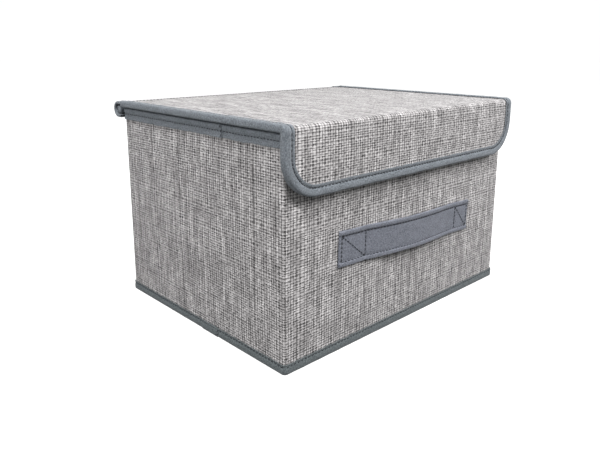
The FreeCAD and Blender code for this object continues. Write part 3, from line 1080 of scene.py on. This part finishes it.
def hinge_tape(ts, side, name):
    """Tape that binds one end of the hinge cloth, outside, round its edge and inside."""
    wide = LID_TAPE_WIDTH - TAPE
    step = 0.8 * MM
    section = [(inset, -0.55 * MM) for inset in span(wide, 0.6 * MM, step)]
    section += [(-0.3 * MM, -0.3 * MM), (-0.6 * MM, 0.5 * MM), (-0.3 * MM, HINGE_THICK + 0.3 * MM)]
    section += [(inset, HINGE_THICK + 0.5 * MM) for inset in span(0.6 * MM, wide, step)]
    rows = [[on_loop(side * (LID_HALF_X - inset), t, inside) for inset, inside in section] for t in ts]
    cloth = [[(t, step * k) for k in range(len(section))] for t in ts]
    piece = sheet_piece("hinge_tape_" + name, rows, cloth, TAPE_THICK, [TAPE_FELT], flip=side < 0)
    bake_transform(piece)


def rolled_ends():
    """The rim tape's ends, rolled up inside the loop at the two back corners."""
    sides = 32
    half = 2.8 * MM
    length = 12 * MM
    oval = 1.13
    outer = LID_HALF_X - 0.6 * MM
    centre_y = LOOP_Y - 0.75 * MM
    rings = ((0.0, 0.6 * MM), (0.25 * MM, 0.15 * MM), (0.9 * MM, 0.0), (length, 0.0))
    for side, name in ((-1, "left"), (1, "right")):
        points, cloth = [], []
        for depth, shrink in rings:
            for k in range(sides):
                turn = 2 * math.pi * k / sides
                # Between a circle and a square, and a little uneven
                reach = half / (abs(math.cos(turn)) ** 3 + abs(math.sin(turn)) ** 3) ** (1 / 3)
                reach += 0.15 * MM * math.sin(3 * turn) - shrink
                points.append(Vector((side * (outer - depth), centre_y + oval * reach * math.cos(turn),
                                      LOOP_Z + reach * math.sin(turn))))
                cloth.append((depth, reach * turn))
        faces = tube_faces(len(rings), sides)
        if side > 0:
            faces = [face[::-1] for face in faces]
        piece = mesh_piece("rim_end_" + name, points, faces, cloth, [TAPE_FELT])
        piece.data.set_sharp_from_angle(angle=math.radians(60))
        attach(piece, "box")


def board_nodes():
    """Cardboard on the frame's own boards."""
    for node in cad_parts.values():
        if node.name.endswith("board"):
            node.data.materials.clear()
            node.data.materials.append(CARDBOARD)


wall_cloth()
inner_lining()
rim_tape()
bottom_tape()
base_sheet()
insert_cover()
handle()
lid_cloth()
lid_tape()
hinge_cloth()
rolled_ends()
board_nodes()


# Studio


def seen_only(obj, shader):
    """Makes a stage object that shows white to the camera and throws no light on the bin."""
    shader.surface.inputs["Emission Color"].default_value = (1.0, 1.0, 1.0, 1.0)
    shader.surface.inputs["Emission Strength"].default_value = 0.95
    obj.data.materials.append(shader.material)
    obj.visible_diffuse = False
    obj.visible_glossy = False


def studio():
    """White floor and backdrop, even dim light from all round, and soft lamps."""
    bpy.ops.mesh.primitive_plane_add(size=12)
    floor = bpy.context.object
    floor.name = "floor"
    floor_shader = Shader("floor_white", roughness=0.9)
    x, y, z = floor_shader.place()
    paper = floor_shader.flecks(x, y, 40, 40)
    floor_shader.colour(paper, (0.0, (0.2, 0.2, 0.2)), (1.0, (0.22, 0.22, 0.22)))
    seen_only(floor, floor_shader)

    bpy.ops.mesh.primitive_uv_sphere_add(segments=48, ring_count=24, radius=8)
    backdrop = bpy.context.object
    backdrop.name = "backdrop"
    backdrop.visible_shadow = False
    backdrop_shader = Shader("backdrop_white", roughness=0.9)
    backdrop_shader.surface.inputs["Base Color"].default_value = (0.2, 0.2, 0.2, 1.0)
    seen_only(backdrop, backdrop_shader)

    world = bpy.data.worlds.new("studio")
    bpy.context.scene.world = world
    world.use_nodes = True
    background = world.node_tree.nodes["Background"]
    background.inputs["Color"].default_value = (1.0, 1.0, 1.0, 1.0)
    background.inputs["Strength"].default_value = 0.25

    cool, warm = (0.97, 1.0, 0.965), (1.0, 0.985, 0.997)
    lamps = (("front", (-0.6, -0.8, 1.55), 0.35, 25.0, warm),
             ("left", (-1.3, -0.1, 0.85), 0.5, 11.0, warm),
             ("right", (0.95, -0.95, 0.95), 0.45, 22.5, warm),
             ("far_side", (1.3, 0.2, 0.55), 0.6, 9.0, warm),
             ("back", (0.2, 1.3, 0.7), 1.0, 6.5, cool))
    target = Vector((0, 0, WALL_TOP / 2))
    for name, place, size, power, tint in lamps:
        lamp = bpy.data.lights.new(name, "AREA")
        lamp.size = size
        lamp.energy = power
        lamp.color = tint
        holder = bpy.data.objects.new(name, lamp)
        holder.location = place
        holder.rotation_euler = (target - Vector(place)).to_track_quat("-Z", "Y").to_euler()
        bpy.context.collection.objects.link(holder)


def camera():
    """The photograph's view: azimuth and elevation round the box, a slight roll and rise."""
    azimuth, elevation, roll = (math.radians(degrees) for degrees in (-43.176, 12.679, 0.105))
    place = Vector((-0.36252, -0.36271, 0.2113))
    back = Vector((math.sin(azimuth) * math.cos(elevation),
                   -math.cos(azimuth) * math.cos(elevation), math.sin(elevation)))
    turn = back.to_track_quat("Z", "Y").to_matrix() @ Matrix.Rotation(roll, 3, "Z")
    data = bpy.data.cameras.new("camera")
    data.lens = 36.184
    data.sensor_width = 36.0
    data.shift_y = -0.08
    data.clip_start = 0.01
    holder = bpy.data.objects.new("camera", data)
    holder.rotation_euler = turn.to_euler()
    holder.location = place
    bpy.context.collection.objects.link(holder)
    bpy.context.scene.camera = holder


studio()
camera()
bpy.context.scene.view_settings.view_transform = "Standard"
